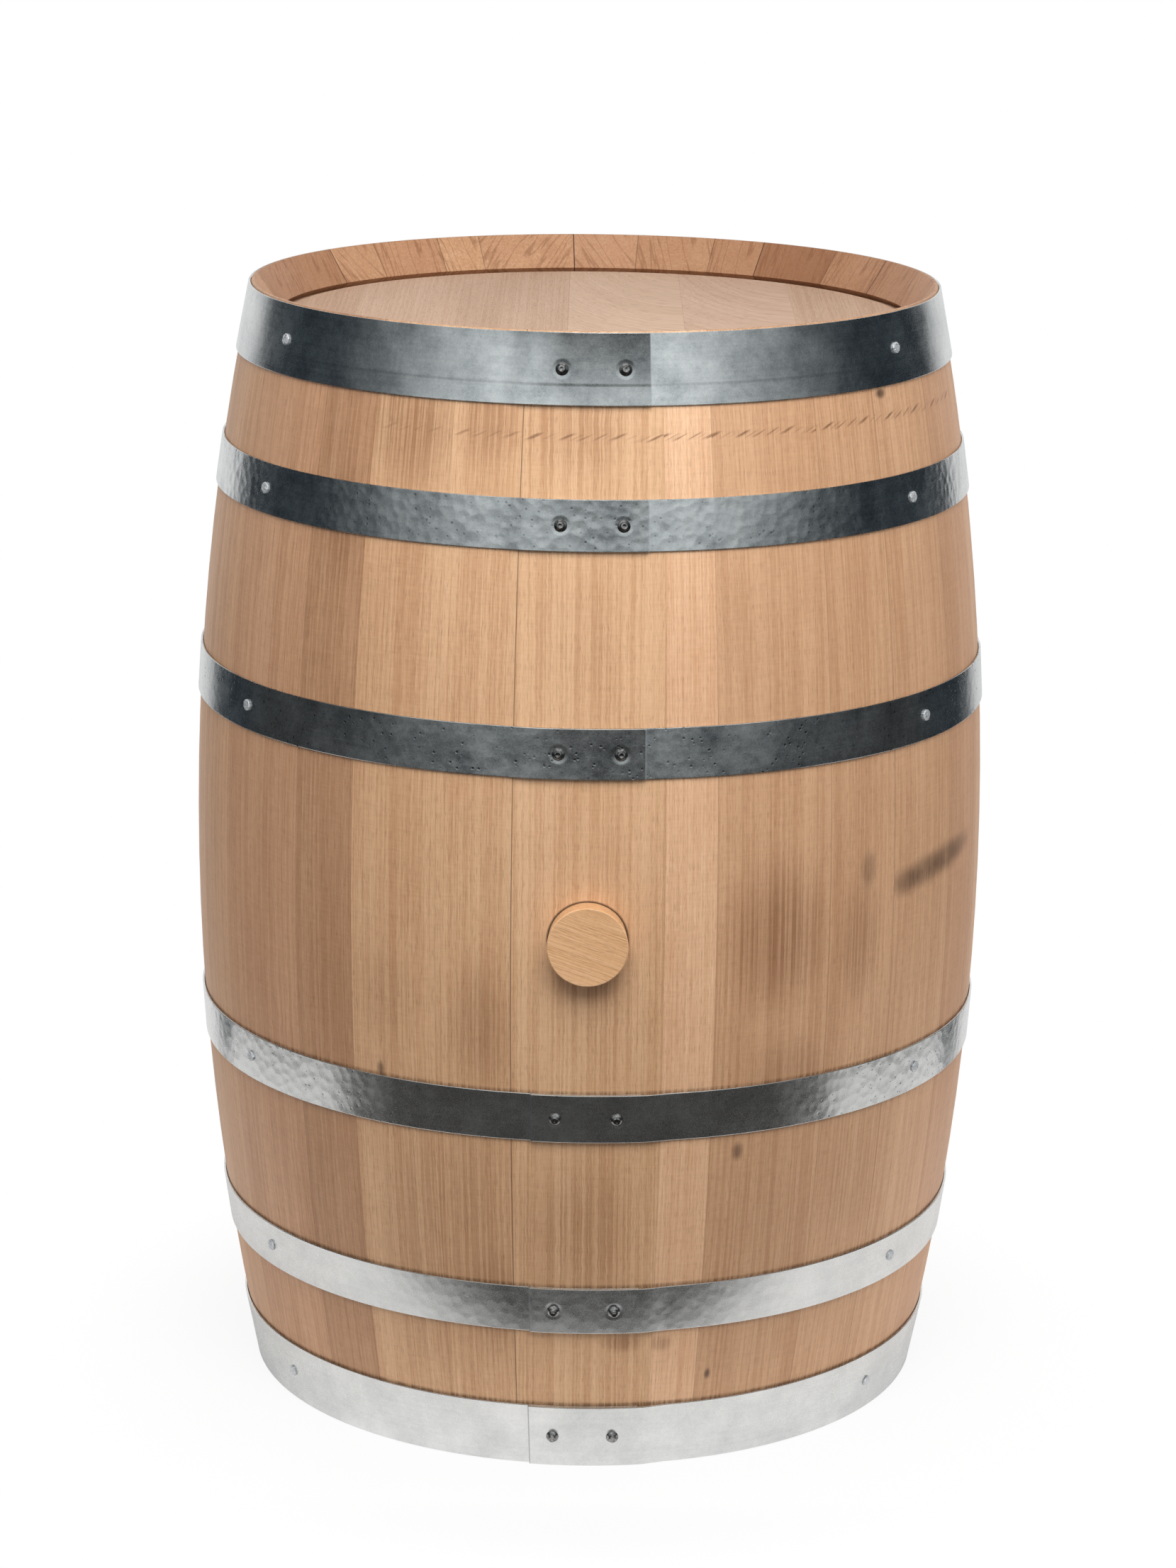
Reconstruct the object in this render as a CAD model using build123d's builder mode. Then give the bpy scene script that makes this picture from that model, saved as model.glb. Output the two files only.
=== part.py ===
from build123d import *
import os
from math import atan, copysign, cos, degrees, radians, sin, sqrt, tan

# Oak wine barrel of the 225 litre pattern, standing on end. Twenty-six curved staves are held by
# six riveted hoops, a boarded head sits in a groove near each end, and a taper bung closes the
# hole in the widest stave. Millimetres, +Z up, origin on the axis at the floor, bung towards -Y.

# Body: the outside of the staves is one arc from end to end
barrel_height = 950.0
bilge_radius = 338.0
end_radius = 288.5
stave_thickness = 27.0

# Stave widths round the barrel from the bung stave, counter-clockwise seen from above
stave_width_shares = (
    20.9, 7.3, 17.7, 12.4, 15.1, 13.8, 13.5, 13.5, 13.7, 14.3, 16.2, 9.9, 14.3,
    11.8, 17.7, 8.1, 13.9, 11.0, 16.1, 15.4, 15.5, 15.0, 18.4, 10.4, 13.3, 10.8,
)

# Stave ends: a narrow rim, a long bevel inside it, and the croze, the groove that holds the head
rim_width = 2.5
bevel_depth = 27.5
croze_depth = 6.0
croze_lip = 3.2

# Heads: boards joined edge to edge by a tongue and groove, with both faces bevelled at the rim
head_recess = 30.0
head_thickness = 27.0
head_edge_thickness = 7.0
head_outer_bevel_drop = 4.0
head_outer_bevel_width = 14.0
head_inner_bevel_width = 30.0
head_clearance = 0.4
head_board_width_shares = (71, 84, 91, 95, 92, 103)
tongue_thickness = 7.0
tongue_length = 7.0
tongue_clearance = 0.15

# Hoops: strips bent to a cone, with lapped ends, each set in from its own end of the barrel
hoop_thickness = 2.0
head_hoop_width = 57.0
quarter_hoop_width = 41.0
bilge_hoop_width = 41.0
head_hoop_top_inset = 0.5
quarter_hoop_top_inset = 128.2
bilge_hoop_top_inset = 307.3
head_hoop_bottom_inset = 0.5
quarter_hoop_bottom_inset = 127.2
bilge_hoop_bottom_inset = 299.2
hoop_fit = 0.1
lap_gap = 0.1
joggle_length = 26.0
joggle_run_out = 2.0

# Rivets: two through each lap
rivet_spacing = 49.0
rivet_margin = 19.5
rivet_radius = 3.0
rivet_head_radius = 5.2
rivet_head_top_radius = 3.2
rivet_head_height = 4.6
rivet_clearance = 0.1

# Nails: three round each hoop, square in the shank, driven through it into the staves
nail_turns = (-57.0, 55.0, 180.0)
nail_shank = 3.2
nail_length = 20.0
nail_point_length = 6.0
nail_point = 0.6
nail_head_radius = 4.7
nail_head_sides = 8
nail_head_height = 1.8
nail_clearance = 0.1
fastener_seat = 0.05

# Bung: a turned oak taper, standing proud of its stave a little below the barrel's middle
bung_drop = 5.0
bung_face_radius = 32.5
bung_stand_out = 20.0
bung_length = 50.0
bung_taper = 3.0
bung_edge = 0.8
bung_clearance = 0.3

# Every cut runs past its piece by this much
overrun = 5.0

os.makedirs("parts", exist_ok=True)

bow = bilge_radius - end_radius
arc_radius = ((barrel_height / 2) ** 2 + bow**2) / (2 * bow)
arc_centre = bilge_radius - arc_radius


def arc_reach(radius, level):
    """Distance from the arc's centre at a height, with the radius's sign, as staves may bow either way."""
    return copysign(sqrt(radius**2 - (level - barrel_height / 2) ** 2), radius)


def outer_radius(level):
    """Radius of the staves' outside at a height."""
    return arc_centre + arc_reach(arc_radius, level)


def inner_radius(level):
    """Radius of the staves' inside at a height."""
    return arc_centre + arc_reach(arc_radius - stave_thickness, level)


def lean(level):
    """Angle of the outside from upright at a height, in radians, negative where it narrows upwards."""
    return atan((barrel_height / 2 - level) / arc_reach(arc_radius, level))


def outward(turn):
    """Level direction at a turn in degrees from the bung, counter-clockwise seen from above."""
    return Vector(sin(radians(turn)), -cos(radians(turn)), 0)


def radial_plane(turn):
    """Upright plane through the axis: its x is the radius and its y the height."""
    return Plane(origin=(0, 0, 0), x_dir=outward(turn), z_dir=outward(turn).cross(Vector(0, 0, 1)))


def normal_plane(turn, level, lift):
    """Plane square to the staves' outside, lifted off it, with its z pointing out of the barrel."""
    tilt = lean(level)
    normal = outward(turn) * cos(tilt) - Vector(0, 0, 1) * sin(tilt)
    foot = outward(turn) * outer_radius(level) + Vector(0, 0, level)
    return Plane(origin=foot + normal * lift, x_dir=Vector(0, 0, 1).cross(outward(turn)), z_dir=normal)


def save(part, name):
    """Label a finished piece and write it."""
    part.label = name
    export_step(part, f"parts/{name}.step")


# The croze follows the edge of the head, so its root is set out from the head's own sizes
edge_near = head_recess + head_outer_bevel_drop
edge_far = edge_near + head_edge_thickness
root_near = edge_near - head_clearance
root_far = edge_far + head_clearance
croze_root_radius = inner_radius(edge_near + head_edge_thickness / 2) + croze_depth
mouth_far = root_far + croze_lip
end_outline = (
    (end_radius - rim_width, 0),
    (inner_radius(bevel_depth), bevel_depth),
    (croze_root_radius, root_near),
    (croze_root_radius, root_far),
    (inner_radius(mouth_far), mouth_far),
)

# Hoops: name, whether it belongs to the top end, distance in from that end, strip width
hoops = (
    ("head_hoop_top", True, head_hoop_top_inset, head_hoop_width),
    ("quarter_hoop_top", True, quarter_hoop_top_inset, quarter_hoop_width),
    ("bilge_hoop_top", True, bilge_hoop_top_inset, bilge_hoop_width),
    ("bilge_hoop_bottom", False, bilge_hoop_bottom_inset, bilge_hoop_width),
    ("quarter_hoop_bottom", False, quarter_hoop_bottom_inset, quarter_hoop_width),
    ("head_hoop_bottom", False, head_hoop_bottom_inset, head_hoop_width),
)
strip_lift = hoop_fit + hoop_thickness / 2
lap_lift = strip_lift + hoop_thickness + lap_gap


def height_from_end(depth, top):
    """Height of something set in from the top or the bottom end."""
    return barrel_height - depth if top else depth


def hoop_level(top, inset, width):
    """Height of a hoop's middle line."""
    return height_from_end(inset + width / 2, top)


hoop_levels = [hoop_level(top, inset, width) for _, top, inset, width in hoops]


# Staves: the same section turned through each stave's own share of the circle
def stave_section(turn):
    """Section of a stave on an upright plane: outer arc, two shaped ends, inner arc."""
    top_end = [(radius, barrel_height - depth) for radius, depth in end_outline]
    bottom_end = [(radius, depth) for radius, depth in reversed(end_outline)]
    inner_bilge = (bilge_radius - stave_thickness, barrel_height / 2)
    with BuildSketch(radial_plane(turn)) as section:
        with BuildLine():
            ThreePointArc((end_radius, 0), (bilge_radius, barrel_height / 2), (end_radius, barrel_height))
            Polyline((end_radius, barrel_height), *top_end)
            ThreePointArc(top_end[-1], inner_bilge, bottom_end[0])
            Polyline(*bottom_end, (end_radius, 0))
        make_face()
    return section.sketch


def near_stave(turn, start, width):
    """Whether a nail at this turn meets the stave, a nail's reach past either edge included."""
    reach = degrees((nail_shank + overrun) / end_radius)
    return (turn - start + reach) % 360 <= width + 2 * reach


def taper_outline(radius, length, edge):
    """Half outline of a taper about its own axis: radius first, then distance in from the face."""
    slope = tan(radians(bung_taper))
    return (
        (0, 0),
        (radius - edge, 0),
        (radius - edge * slope, edge),
        (radius - (length - edge) * slope, length - edge),
        (radius - length * slope - edge, length),
        (0, length),
    )


nail_hole = nail_shank + 2 * nail_clearance
bung_height = barrel_height / 2 - bung_drop
bung_face = outer_radius(bung_height) + bung_stand_out
bung_plane = Plane(origin=(0, -bung_face, bung_height), x_dir=(1, 0, 0), z_dir=(0, 0, 1))
bung_axis = Axis((0, 0, bung_height), (0, 1, 0))
bung_hole_length = bung_stand_out + stave_thickness + overrun
width_total = sum(stave_width_shares)
stave_start = -stave_width_shares[0] / width_total * 360 / 2
for number, share in enumerate(stave_width_shares, start=1):
    stave_width = share / width_total * 360
    nail_holes = [
        normal_plane(turn, level, overrun)
        for level in hoop_levels
        for turn in nail_turns
        if near_stave(turn, stave_start, stave_width)
    ]
    with BuildPart() as stave:
        add(stave_section(stave_start))
        revolve(axis=Axis.Z, revolution_arc=stave_width)
        for hole_plane in nail_holes:
            with BuildSketch(hole_plane):
                Rectangle(nail_hole, nail_hole)
            extrude(amount=-(overrun + nail_length), mode=Mode.SUBTRACT)
        if number == 1:
            with BuildSketch(bung_plane):
                with BuildLine():
                    hole_radius = bung_face_radius + bung_clearance
                    Polyline(*taper_outline(hole_radius, bung_hole_length, bung_edge), close=True)
                make_face()
            revolve(axis=bung_axis, mode=Mode.SUBTRACT)
    save(stave.part, "bung_stave" if number == 1 else f"stave_{number:02d}")
    stave_start += stave_width


# Bung: the same taper as its hole, with a broken edge round the face
with BuildPart() as bung:
    with BuildSketch(bung_plane):
        with BuildLine():
            Polyline(*taper_outline(bung_face_radius, bung_length, bung_edge), close=True)
        make_face()
    revolve(axis=bung_axis)
save(bung.part, "bung")


# Heads: one bevelled disc, cut along its joints into boards with a tongue on the right edge
head_edge_radius = croze_root_radius - head_clearance
head_back = head_recess + head_thickness
head_outline = (
    (0, head_recess),
    (head_edge_radius - head_outer_bevel_width, head_recess),
    (head_edge_radius, edge_near),
    (head_edge_radius, edge_far),
    (head_edge_radius - head_inner_bevel_width, head_back),
    (0, head_back),
)
board_total = sum(head_board_width_shares)
head_joints = [
    head_edge_radius * (2 * sum(head_board_width_shares[:count]) / board_total - 1)
    for count in range(1, len(head_board_width_shares))
]
board_edges = [-bilge_radius, *head_joints, bilge_radius]
groove_depth = tongue_length + tongue_clearance
groove_width = tongue_thickness + 2 * tongue_clearance
for end in ("top", "bottom"):
    at_top = end == "top"
    middle = height_from_end(head_recess + head_thickness / 2, at_top)
    disc_outline = [(radius, height_from_end(depth, at_top)) for radius, depth in head_outline]
    for number, (left, right) in enumerate(zip(board_edges, board_edges[1:]), start=1):
        with BuildPart() as board:
            with BuildSketch(Plane.XZ):
                with BuildLine():
                    Polyline(*disc_outline, close=True)
                make_face()
            revolve(axis=Axis.Z)
            with BuildSketch(Plane.XZ):
                with Locations(((left + right) / 2, middle)):
                    Rectangle(right - left, head_thickness + 2 * overrun)
                with Locations((right + tongue_length / 2, middle)):
                    Rectangle(tongue_length, tongue_thickness)
                with Locations((left + groove_depth / 2, middle)):
                    Rectangle(groove_depth, groove_width, mode=Mode.SUBTRACT)
            extrude(amount=bilge_radius, both=True, mode=Mode.INTERSECT)
        save(board.part, f"head_board_{end}_{number}")


# Hoops: the strip runs once round, steps up over its own end and is riveted through the lap
def strip_section(turn, level, lift, width):
    """Section of the strip, lying along the staves' slope and lifted off them."""
    tilt = lean(level)
    centre = (outer_radius(level) + lift * cos(tilt), level - lift * sin(tilt))
    with BuildSketch(radial_plane(turn)) as section:
        with Locations(centre):
            Rectangle(hoop_thickness, width, rotation=-degrees(tilt))
    return section.sketch


lap_length = rivet_spacing + 2 * rivet_margin
rivet_planes = []
for (name, top, inset, width), level in zip(hoops, hoop_levels):
    radius = outer_radius(level)
    lap_half = degrees(lap_length / 2 / radius)
    lap_start = -lap_half - degrees(joggle_run_out / radius)
    joggle_start = lap_start - degrees(joggle_length / radius)
    rivet_half = degrees(rivet_spacing / 2 / radius)
    rivet_turns = (-rivet_half, rivet_half)
    with BuildPart() as hoop:
        add(strip_section(-lap_half, level, strip_lift, width))
        revolve(axis=Axis.Z, revolution_arc=360 + joggle_start + lap_half)
        add(strip_section(lap_start, level, lap_lift, width))
        revolve(axis=Axis.Z, revolution_arc=lap_half - lap_start)
        add(strip_section(joggle_start, level, strip_lift, width))
        add(strip_section(lap_start, level, lap_lift, width))
        loft()
        if not top:
            mirror(about=Plane.YZ, mode=Mode.REPLACE)
        with Locations(*[normal_plane(turn, level, lap_lift + overrun) for turn in rivet_turns]):
            Hole(rivet_radius + rivet_clearance, depth=lap_lift + 2 * overrun)
        for turn in nail_turns:
            with BuildSketch(normal_plane(turn, level, lap_lift + overrun)):
                Rectangle(nail_hole, nail_hole)
            extrude(amount=-(lap_lift + 2 * overrun), mode=Mode.SUBTRACT)
    save(hoop.part, name)
    rivet_planes += [normal_plane(turn, level, hoop_fit) for turn in rivet_turns]


# Rivets: shank through both layers, and a head that narrows outwards from the lap
rivet_seat = 2 * hoop_thickness + lap_gap + fastener_seat
with BuildPart() as rivet:
    with BuildSketch(Plane.XZ):
        with BuildLine():
            Polyline(
                (0, 0),
                (rivet_radius, 0),
                (rivet_radius, rivet_seat),
                (rivet_head_radius, rivet_seat),
                (rivet_head_top_radius, rivet_seat + rivet_head_height),
                (0, rivet_seat + rivet_head_height),
                close=True,
            )
        make_face()
    revolve(axis=Axis.Z)

with BuildPart() as rivets:
    with Locations(*rivet_planes):
        add(rivet.part)
save(rivets.part, "hoop_rivets")


# Nails: eight-sided flat head on the hoop, square shank drawn down to a point
nail_lift = hoop_fit + hoop_thickness + fastener_seat
shank_length = nail_length - nail_point_length
with BuildPart() as nail:
    with BuildSketch():
        RegularPolygon(nail_head_radius, nail_head_sides)
    extrude(amount=nail_head_height)
    with BuildSketch():
        Rectangle(nail_shank, nail_shank)
    extrude(amount=-shank_length)
    with BuildSketch(Plane.XY.offset(-shank_length)):
        Rectangle(nail_shank, nail_shank)
    with BuildSketch(Plane.XY.offset(-nail_length)):
        Rectangle(nail_point, nail_point)
    loft()

nail_planes = [normal_plane(turn, level, nail_lift) for level in hoop_levels for turn in nail_turns]
with BuildPart() as nails:
    with Locations(*nail_planes):
        add(nail.part)
save(nails.part, "hoop_nails")
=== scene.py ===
from math import atan, atan2, cos, pi, radians, sin, sqrt
from random import Random

import bmesh
import bpy
from mathutils import Matrix, Vector


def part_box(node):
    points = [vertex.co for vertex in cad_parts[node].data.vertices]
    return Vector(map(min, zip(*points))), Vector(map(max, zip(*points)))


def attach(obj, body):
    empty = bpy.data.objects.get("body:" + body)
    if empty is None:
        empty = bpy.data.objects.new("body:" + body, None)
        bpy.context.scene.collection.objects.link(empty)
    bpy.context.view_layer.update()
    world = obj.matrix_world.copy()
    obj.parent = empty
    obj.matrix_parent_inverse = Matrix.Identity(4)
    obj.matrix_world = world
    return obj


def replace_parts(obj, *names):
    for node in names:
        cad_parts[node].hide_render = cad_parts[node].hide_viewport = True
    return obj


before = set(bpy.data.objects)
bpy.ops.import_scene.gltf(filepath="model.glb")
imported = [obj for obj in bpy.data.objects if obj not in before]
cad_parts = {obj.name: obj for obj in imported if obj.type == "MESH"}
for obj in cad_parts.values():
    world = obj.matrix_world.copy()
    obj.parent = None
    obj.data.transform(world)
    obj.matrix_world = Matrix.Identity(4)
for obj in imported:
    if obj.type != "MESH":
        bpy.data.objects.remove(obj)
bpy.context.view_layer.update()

# Staves: twenty-six planks of split oak, planed outside, bent over a fire to one arc and jointed edge
# to edge with no glue. Each differs a little in width and colour. The ends are bevelled inside the rim,
# so end grain shows there, and the inside is browned by the fire.
height, bilge_radius, end_radius = 0.950, 0.338, 0.2885
bow = bilge_radius - end_radius
arc_radius = ((height / 2) ** 2 + bow**2) / (2 * bow)


def outer_radius(level):
    """Radius of the staves' outside at a height."""
    return bilge_radius - arc_radius + sqrt(arc_radius**2 - (level - height / 2) ** 2)


def hex_colour(code):
    """Linear colour of an sRGB hex value."""
    channels = [int(code[i:i + 2], 16) / 255 for i in (1, 3, 5)]
    return [c / 12.92 if c <= 0.04045 else ((c + 0.055) / 1.055) ** 2.4 for c in channels] + [1.0]


def node(tree, kind, inputs, out=0, **settings):
    """Add a shader node, set its fields, set or link its inputs, and give back one of its outputs."""
    made = tree.nodes.new("ShaderNode" + kind)
    for field, value in settings.items():
        setattr(made, field, value)
    for socket, value in inputs.items():
        if isinstance(value, bpy.types.NodeSocket):
            tree.links.new(value, made.inputs[socket])
        else:
            made.inputs[socket].default_value = value
    return made.outputs[out] if len(made.outputs) else made


def new_material(name):
    """An empty node material and its tree."""
    material = bpy.data.materials.new(name)
    material.use_nodes = True
    material.node_tree.nodes.clear()
    return material, material.node_tree


def oak_grain(tree, plank, pale, brown, seed, figure):
    """Colour, relief and year rings of sawn oak from a plank's own coordinates: across, through and along,
    in metres. Rings are 2.2 mm apart, in bands of 16 mm, and sway where the wood is figured. Fibres are 1 mm
    wide. The real pores are 0.3 mm wide, too fine to show, so they are drawn 0.6 mm wide. The sander leaves
    short cross lines 1.6 mm apart."""
    shift = (seed * 0.731 % 7, seed * 0.417 % 5, seed * 1.93 % 11)
    moved = node(tree, "VectorMath", {0: plank, 1: shift}, operation="ADD")
    swung = node(tree, "Mapping", {"Vector": moved, "Scale": (1 / 0.035, 1 / 0.035, figure / 0.022)})
    sway = node(tree, "TexNoise", {"Vector": swung, "Scale": 1.0, "Detail": 1.0})
    sway = node(tree, "Math", {0: sway, 1: 0.0007 * figure}, operation="MULTIPLY")
    swayed = node(tree, "VectorMath", {0: moved, 1: node(tree, "CombineXYZ", {0: sway})}, operation="ADD")
    # Width and length of each layer's marks, and how finely it is broken up
    layers = {}
    for layer, (across, along, detail) in {
        "bands": (0.016, 0.7, 2.0), "rings": (0.0022, 0.5, 1.0), "fibres": (0.0010, 0.035, 1.0),
        "pores": (0.0006, 0.008, 0.0), "patches": (0.045, 0.20, 2.0), "sanding": (0.012, 0.0016, 1.0),
    }.items():
        scaled = node(tree, "Mapping", {"Vector": swayed, "Scale": (1 / across, 1 / across, 1 / along)})
        layers[layer] = node(tree, "TexNoise", {
            "Vector": scaled, "Scale": 1.0, "Detail": detail, "Roughness": 0.5, "Distortion": 0.2})
    rings = node(tree, "MapRange", {0: layers["rings"], 1: 0.38, 2: 0.62}, interpolation_type="SMOOTHSTEP")
    # How much each layer counts in the mix of pale and brown, which spans this much either side of the middle
    ring_weight, span = 0.10 + 0.03 * figure, 0.17
    tone = node(tree, "Math", {0: rings, 1: ring_weight}, operation="MULTIPLY")
    weights = {"bands": 0.30, "fibres": 0.34, "patches": 0.28, "sanding": 0.14}
    for layer, weight in weights.items():
        tone = node(tree, "Math", {0: layers[layer], 1: weight, 2: tone}, operation="MULTIPLY_ADD")
    middle = (ring_weight + sum(weights.values())) / 2
    mixed = node(tree, "MapRange", {0: tone, 1: middle - span, 2: middle + span})
    colour = node(tree, "Mix", {0: mixed, 6: hex_colour(brown), 7: hex_colour(pale)}, out=2, data_type="RGBA")
    pore = node(tree, "MapRange", {0: layers["pores"], 1: 0.28, 2: 0.42, 3: 0.20, 4: 0.0})
    colour = node(tree, "Mix", {0: pore, 6: colour, 7: hex_colour("#6b4429")}, out=2, data_type="RGBA")
    relief = node(tree, "Math", {0: rings, 1: 0.35, 2: mixed}, operation="MULTIPLY_ADD")
    relief = node(tree, "Math", {0: pore, 1: -2.0, 2: relief}, operation="MULTIPLY_ADD")
    return colour, relief, rings


def oak_surface(tree, colour, relief, rough, depth, gloss):
    """Raw oak, planed or sanded and never oiled: dry, with little gloss and a relief one just feels."""
    bump = node(tree, "Bump", {"Height": relief, "Strength": 0.55, "Distance": depth})
    shader = node(tree, "BsdfPrincipled", {
        "Base Color": colour, "Roughness": rough, "IOR": 1.5, "Specular IOR Level": gloss, "Normal": bump})
    node(tree, "OutputMaterial", {"Surface": shader})


# Oak tones as they come from the saw: the pale and the brown of one plank's grain
oak_tones = {
    "honey": ("#e1b78f", "#c5966e"),
    "sapwood": ("#edc39d", "#d19f78"),
    "straw": ("#deb48c", "#c2926b"),
    "tan": ("#d6aa84", "#ba8b66"),
    "brown": ("#cfa17d", "#b58561"),
    "nut": ("#c49874", "#a67855"),
}
stave_tones = (
    "honey sapwood tan tan tan brown tan brown straw tan nut tan straw "
    "sapwood tan straw brown tan straw nut tan tan brown nut straw straw"
).split()
# The bung stave has rippled grain, the others straight
rippled, straight = 2.4, 0.7
bung_level, hole_mouth = 0.470, 0.0322
# Brown stains that follow the rings, and the shadow of the bung painted under it: turn and height of the
# middle, half width, half height, strength
stave_stains_and_shadow = {
    # On stave 1 the first entry, just under the bung, is painted shadow where the bung's shadow falls
    1: [(0, 0.432, 0.034, 0.024, 0.35), (3, 0.400, 0.060, 0.050, 0.15), (-1, 0.220, 0.075, 0.090, 0.32),
        (-2, 0.720, 0.050, 0.080, 0.12), (-2, 0.872, 0.065, 0.045, 0.28), (6, 0.116, 0.022, 0.012, 0.55)],
    2: [(12, 0.114, 0.014, 0.010, 0.50)],
    3: [(27, 0.465, 0.066, 0.085, 0.58), (30, 0.345, 0.050, 0.045, 0.35), (27, 0.190, 0.055, 0.150, 0.22)],
    4: [(41, 0.450, 0.034, 0.070, 0.32), (42, 0.240, 0.035, 0.080, 0.15)],
    24: [(-39, 0.790, 0.030, 0.060, 0.35)],
    25: [(-29, 0.410, 0.040, 0.055, 0.18), (-28, 0.875, 0.060, 0.070, 0.50),
         (-24, 0.190, 0.055, 0.160, 0.26)],
    26: [(-15, 0.395, 0.040, 0.075, 0.36), (-13, 0.150, 0.030, 0.070, 0.30), (-16, 0.880, 0.040, 0.050, 0.35),
         (-17, 0.210, 0.050, 0.150, 0.24)],
}
# Dark rubs and knots, broken up along the grain: the same five values
stave_rubs = {
    3: [(22, 0.283, 0.007, 0.011, 0.65), (19.8, 0.081, 0.004, 0.007, 0.85)],
    4: [(42.5, 0.507, 0.012, 0.022, 0.40)],
    5: [(51, 0.487, 0.030, 0.016, 0.58), (56, 0.4905, 0.040, 0.018, 0.60), (62, 0.4935, 0.044, 0.018, 0.60),
        (50, 0.888, 0.009, 0.006, 0.9)],
    6: [(62, 0.4935, 0.044, 0.018, 0.60), (67, 0.4965, 0.036, 0.015, 0.42)],
    25: [(-30, 0.345, 0.005, 0.010, 0.7)],
}
# Heights of the lower hoops' upper edges
lower_hoop_edges = (0.3402, 0.1681, 0.0573)
# Staves whose end grain is darker than the rest, how much: browner wood, and at the back right painted shade
# too
brown_and_shaded_ends = {8: 0.25, 9: 0.50, 10: 0.40, 11: 0.65, 12: 0.40, 13: 0.35, 14: 0.40, 19: 0.50, 20: 0.15}
# Joints whose dark line shows plainly: the stave on whose right side it is, and how dark
tight_joint = 0.16
open_joints = {26: 0.7, 3: 0.3, 23: 0.25, 5: 0.35, 4: 0.4, 9: 0.5, 14: 0.5, 18: 0.4, 11: 0.35}
# Staves with the row of small bruises that the hoop driver left under the top hoop, and how dark
bruise_level = 0.8660
bruised = {25: 0.25, 26: 0.45, 1: 0.65, 2: 0.75, 3: 0.7, 4: 0.75, 5: 0.8, 6: 0.7}

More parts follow.
